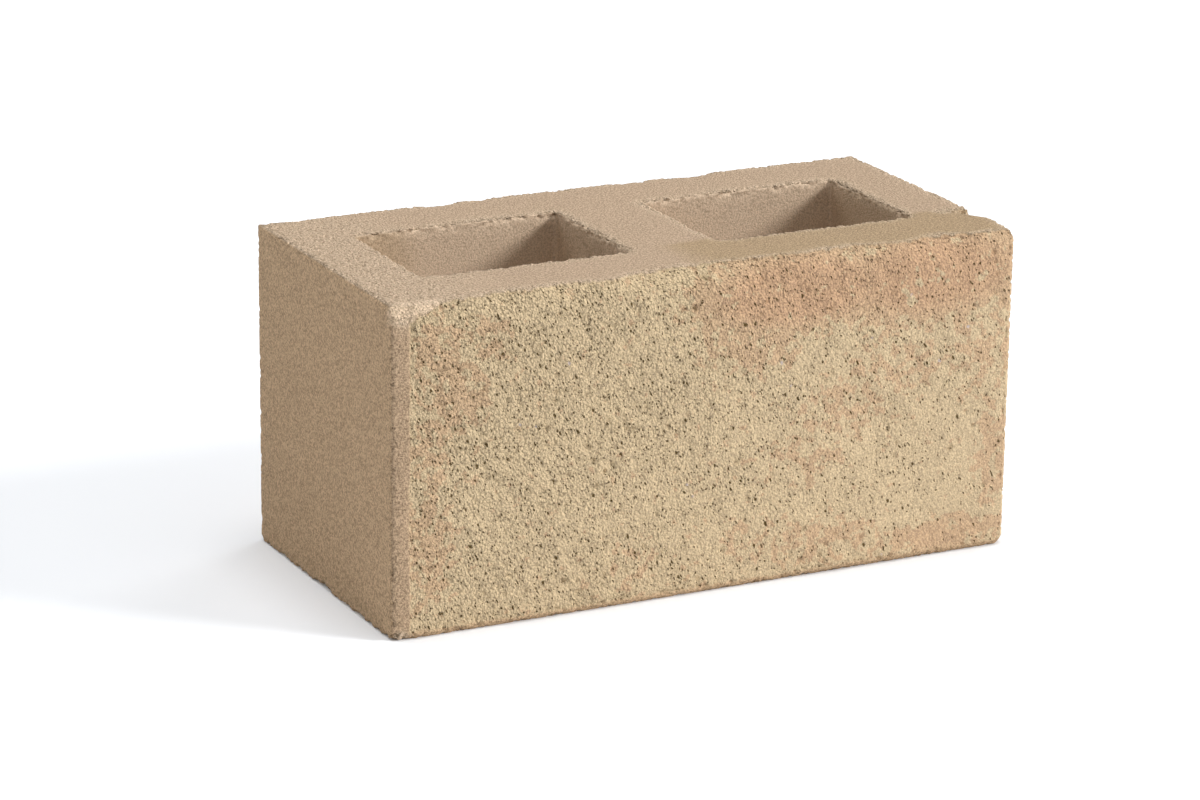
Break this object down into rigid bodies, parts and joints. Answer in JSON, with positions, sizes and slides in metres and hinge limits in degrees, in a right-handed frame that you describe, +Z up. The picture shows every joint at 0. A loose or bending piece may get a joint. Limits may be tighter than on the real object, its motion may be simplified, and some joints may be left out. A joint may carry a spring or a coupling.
{
  "type": "split-face block",
  "caption": "Tan concrete masonry block with a rough split front face, moulded flat ends and back, and tapered rectangular cores that run right through it.",
  "frame": {"origin": "middle of the block's box at the level of the bed face that it stands on", "axes": "+X along the block, -Y out of the split front face, +Z up along the cores"},
  "size_m": [0.39, 0.1899, 0.19],
  "materials": {
    "concrete": "dry-cast sand concrete, matt: moulded skin on the ends, back, top and bed, coarse broken grain on the split front"
  },
  "bodies": {
    "root": {"split_face_block": "concrete"}
  },
  "joints": []
}
